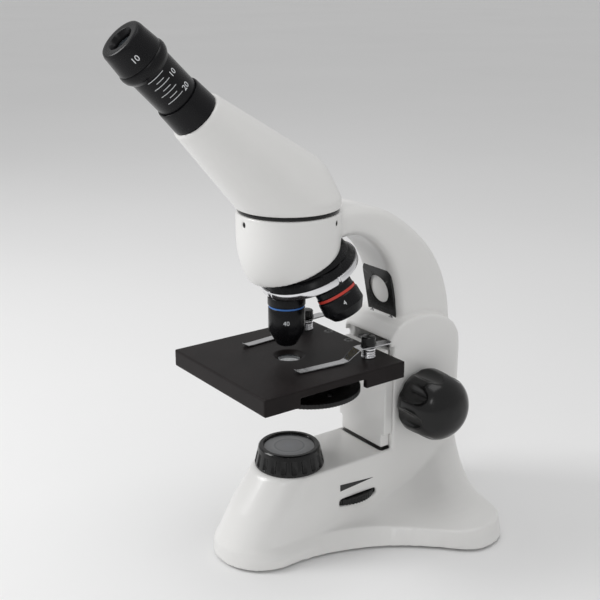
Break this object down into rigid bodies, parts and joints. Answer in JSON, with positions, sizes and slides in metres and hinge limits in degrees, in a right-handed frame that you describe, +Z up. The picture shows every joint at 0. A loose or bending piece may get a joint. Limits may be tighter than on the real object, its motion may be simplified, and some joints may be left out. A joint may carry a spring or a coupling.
{
  "type": "microscope",
  "caption": "Student microscope with inclined monocular tube, turning nosepiece, square stage with clips and lamps above and below it.",
  "frame": {"origin": "on the table under the middle of the whole part; the optical axis stands 10.5 mm in front of it", "axes": "+Z up along the optical axis, -Y towards the user's eye, +Y towards the arm, +X to the side of the dimmer wheel"},
  "size_m": [0.1582, 0.2248, 0.2995],
  "materials": {
    "white_paint": "satin",
    "satin_black": "satin",
    "gloss_black": "gloss",
    "mark": "matte",
    "stage_paint": "matte",
    "chrome": "polished",
    "steel": "brushed",
    "brass": "machined",
    "glass": "polished",
    "frosted": "frosted",
    "circuit_board": "satin",
    "rubber": "matte",
    "grey_plastic": "matte",
    "ring_colours": "satin"
  },
  "bodies": {
    "stand": {"base_casting": "white_paint", "bottom_cover": "grey_plastic", "cover_screws": "steel", "feet": "rubber", "arm_casting": "white_paint", "head_collar": "white_paint", "collar_screws": "gloss_black", "lamp_cap": "gloss_black", "lamp_window": "frosted", "lamp_board": "circuit_board", "dimmer_pot": "steel", "brightness_mark": "mark", "power_jack": "gloss_black", "upper_lamp_plate": "gloss_black", "upper_lamp_reflector": "chrome", "upper_lamp_led": "frosted", "plate_screws": "steel", "nosepiece_seat": "satin_black", "click_spring": "steel", "turret_screw": "steel", "guide_rails": "steel", "shaft_bushes": "brass"},
    "head": {"head_body": "white_paint", "head_dovetail": "gloss_black", "head_prism": "glass", "eyepiece_socket": "satin_black"},
    "drawtube": {"draw_tube": "satin_black"},
    "eyepiece": {"eyepiece": "satin_black", "eye_lens": "glass", "field_lens": "glass"},
    "nosepiece": {"turret": "satin_black", "turret_ring": "chrome", "objective_40": "satin_black", "objective_10": "satin_black", "objective_4": "satin_black", "objective_bands": "ring_colours", "front_lenses": "glass", "turret_plug": "satin_black"},
    "stage": {"focus_carriage": "white_paint", "focus_rack": "brass", "carriage_screw": "steel", "stage_plate": "stage_paint", "stage_glass": "glass", "stage_screws": "steel", "diaphragm_screw": "steel", "clip_caps": "gloss_black", "clip_springs": "chrome"},
    "diaphragm": {"diaphragm_disc": "gloss_black"},
    "clip_r": {"clip_right": "steel"},
    "clip_l": {"clip_left": "steel"},
    "focus_knobs": {"pinion_shaft": "steel", "knob_washers": "gloss_black", "knob_right": "gloss_black", "knob_left": "gloss_black"},
    "dimmer": {"dimmer_wheel": "gloss_black"}
  },
  "joints": [
    {"name": "head_turn", "type": "hinge", "parent": "stand", "child": "head", "pos_m": [0, -0.0105, 0.1985], "axis": [0, 0, 1], "continuous": true},
    {"name": "drawtube_slide", "type": "slide", "parent": "head", "child": "drawtube", "axis": [0, -0.712, 0.7022], "range_m": [-0.018, 0.008]},
    {"name": "eyepiece_lift", "type": "slide", "parent": "drawtube", "child": "eyepiece", "axis": [0, -0.712, 0.7022], "range_m": [0, 0.045]},
    {"name": "nosepiece_turn", "type": "hinge", "parent": "stand", "child": "nosepiece", "pos_m": [0, -0.012, 0.2008], "axis": [0, 0.373, -0.9278], "continuous": true},
    {"name": "stage_slide", "type": "slide", "parent": "stand", "child": "stage", "axis": [0, 0, 1], "range_m": [-0.0093, 0.0045]},
    {"name": "focus_turn", "type": "hinge", "parent": "stand", "child": "focus_knobs", "pos_m": [0, 0.0685, 0.0775], "axis": [-1, 0, 0], "range_deg": [-111.5, 54.2]},
    {"name": "diaphragm_turn", "type": "hinge", "parent": "stage", "child": "diaphragm", "pos_m": [0.0188, -0.0105, 0.1015], "axis": [0, 0, 1], "continuous": true},
    {"name": "clip_right_turn", "type": "hinge", "parent": "stage", "child": "clip_r", "pos_m": [0.029, 0.023, 0.1215], "axis": [0, 0, 1], "range_deg": [-18, 70]},
    {"name": "clip_left_turn", "type": "hinge", "parent": "stage", "child": "clip_l", "pos_m": [-0.029, 0.023, 0.1215], "axis": [0, 0, 1], "range_deg": [-70, 18]},
    {"name": "dimmer_turn", "type": "hinge", "parent": "stand", "child": "dimmer", "pos_m": [0.005, 0.0235, 0.0235], "axis": [0, 0, 1], "range_deg": [-135, 135]}
  ],
  "couplings": [
    {"joint": "focus_turn", "follows": "stage_slide", "rad_per_m": 208.33}
  ]
}
